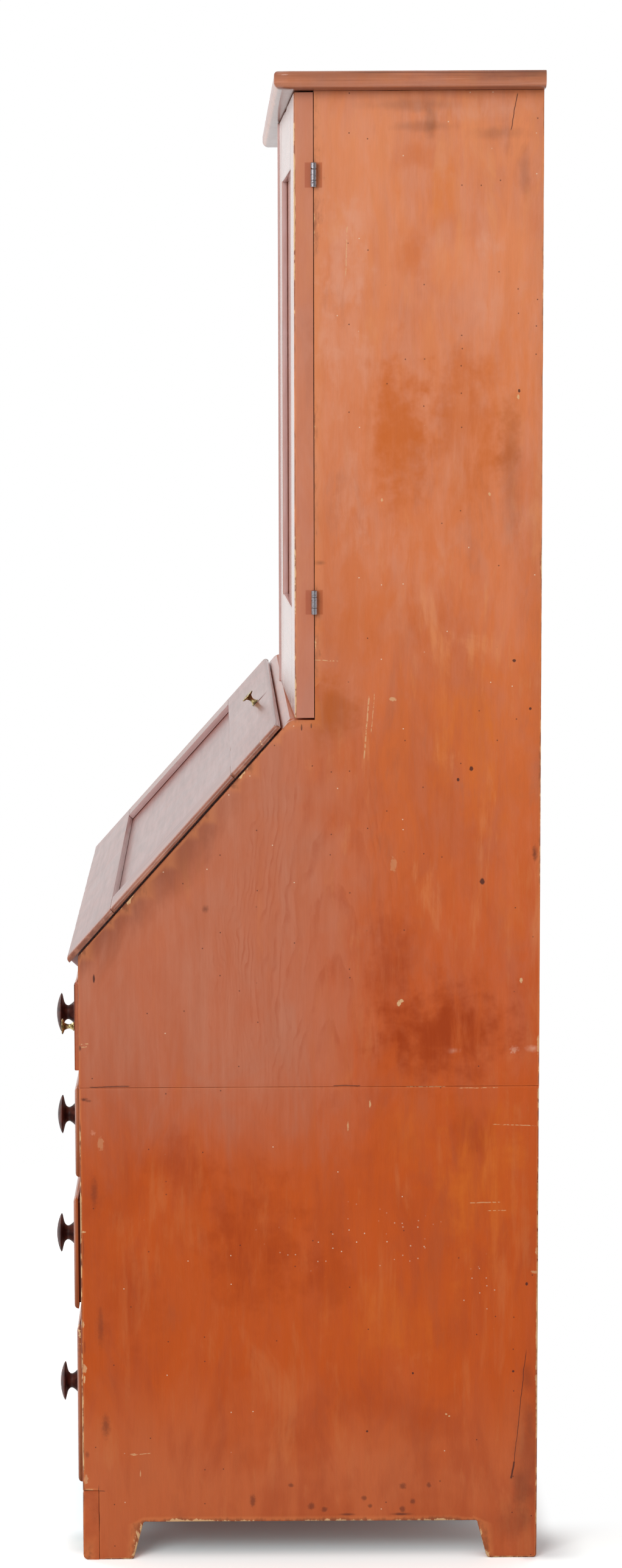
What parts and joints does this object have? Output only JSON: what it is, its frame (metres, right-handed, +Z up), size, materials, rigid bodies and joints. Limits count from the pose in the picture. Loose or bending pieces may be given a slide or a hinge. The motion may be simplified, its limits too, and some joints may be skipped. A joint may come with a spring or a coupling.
{
  "type": "slant-front desk with bookcase",
  "caption": "Slant-front desk on a chest of drawers with a two-door bookcase on top; drop lid, lipped drawers, turned wooden knobs.",
  "frame": {"origin": "on the floor, under the middle of the whole piece, knobs included", "axes": "+X to the right as seen from the front, +Y from the front to the back, +Z up"},
  "size_m": [1.012, 0.6654, 2.028],
  "materials": {
    "stained_wood": "old stained softwood, worn satin finish, bare wood at knocks and edges",
    "faded_wood": "the same stain, paler and cloudy",
    "bare_wood": "unfinished pale wood, aged",
    "knob_wood": "nearly black turned wood, satin",
    "brass": "tarnished brass",
    "hinge_iron": "dull grey iron"
  },
  "bodies": {
    "case": {"lower_side_left": "stained_wood", "lower_side_right": "stained_wood", "base_skirt": "stained_wood", "bottom_board": "bare_wood", "rail_low": "stained_wood", "rail_mid": "stained_wood", "lower_top_board": "stained_wood", "drawer_runners": "bare_wood", "lower_back_boards": "bare_wood", "upper_side_left": "faded_wood", "upper_side_right": "faded_wood", "upper_bottom_board": "stained_wood", "loper_dividers": "bare_wood", "writing_bed": "stained_wood", "bookcase_floor": "stained_wood", "bookcase_shelves": "bare_wood", "cornice_board": "faded_wood", "upper_back_boards": "bare_wood", "gallery_shelf": "bare_wood", "gallery_dividers": "bare_wood", "bed_hinge_leaves": "hinge_iron", "lid_hinge_pins": "hinge_iron", "case_hinge_leaves": "hinge_iron", "door_hinge_pins": "hinge_iron"},
    "lid": {"lid_bottom_rail": "stained_wood", "lid_top_rail": "stained_wood", "lid_stiles": "stained_wood", "lid_panel": "stained_wood", "lid_knob": "brass", "lid_hinge_leaves": "hinge_iron"},
    "door_left": {"door_left_stiles": "faded_wood", "door_left_top_rail": "faded_wood", "door_left_bottom_rail": "faded_wood", "door_left_panel": "faded_wood", "door_left_hinge_leaves": "hinge_iron"},
    "door_right": {"door_right_stiles": "faded_wood", "door_right_top_rail": "faded_wood", "door_right_bottom_rail": "faded_wood", "door_right_panel": "faded_wood", "door_right_hinge_leaves": "hinge_iron"},
    "drawer_1": {"drawer_1_front": "stained_wood", "drawer_1_box": "bare_wood", "drawer_1_knobs": "knob_wood"},
    "drawer_2": {"drawer_2_front": "stained_wood", "drawer_2_box": "bare_wood", "drawer_2_knobs": "knob_wood"},
    "drawer_3": {"drawer_3_front": "stained_wood", "drawer_3_box": "bare_wood", "drawer_3_knobs": "knob_wood"},
    "drawer_4": {"drawer_4_front": "stained_wood", "drawer_4_box": "bare_wood", "drawer_4_knobs": "knob_wood"},
    "loper_left": {"loper_left": "stained_wood", "loper_left_knob": "brass"},
    "loper_right": {"loper_right": "stained_wood", "loper_right_knob": "brass"},
    "small_drawer_left": {"small_drawer_left": "bare_wood"},
    "small_drawer_right": {"small_drawer_right": "bare_wood"}
  },
  "joints": [
    {"name": "lid", "type": "hinge", "parent": "case", "child": "lid", "pos_m": [0, -0.2954, 0.8274], "axis": [1, 0, 0], "range_deg": [0, 131.9]},
    {"name": "door_left", "type": "hinge", "parent": "case", "child": "door_left", "pos_m": [-0.4845, 0.0273, 1.17102], "axis": [0, 0, -1], "range_deg": [-1.35, 178.65]},
    {"name": "door_right", "type": "hinge", "parent": "case", "child": "door_right", "pos_m": [0.4845, 0.0273, 1.17102], "axis": [0, 0, 1], "range_deg": [-1.05, 178.95]},
    {"name": "drawer_1", "type": "slide", "parent": "case", "child": "drawer_1", "axis": [0, -1, 0], "range_m": [0, 0.35]},
    {"name": "drawer_2", "type": "slide", "parent": "case", "child": "drawer_2", "axis": [0, -1, 0], "range_m": [0, 0.4]},
    {"name": "drawer_3", "type": "slide", "parent": "case", "child": "drawer_3", "axis": [0, -1, 0], "range_m": [-0.003, 0.397]},
    {"name": "drawer_4", "type": "slide", "parent": "case", "child": "drawer_4", "axis": [0, -1, 0], "range_m": [0, 0.4]},
    {"name": "loper_left", "type": "slide", "parent": "case", "child": "loper_left", "axis": [0, -1, 0], "range_m": [0, 0.3]},
    {"name": "loper_right", "type": "slide", "parent": "case", "child": "loper_right", "axis": [0, -1, 0], "range_m": [0, 0.3]},
    {"name": "small_drawer_left", "type": "slide", "parent": "case", "child": "small_drawer_left", "axis": [0, -1, 0], "range_m": [0, 0.16]},
    {"name": "small_drawer_right", "type": "slide", "parent": "case", "child": "small_drawer_right", "axis": [0, -1, 0], "range_m": [0, 0.16]}
  ]
}
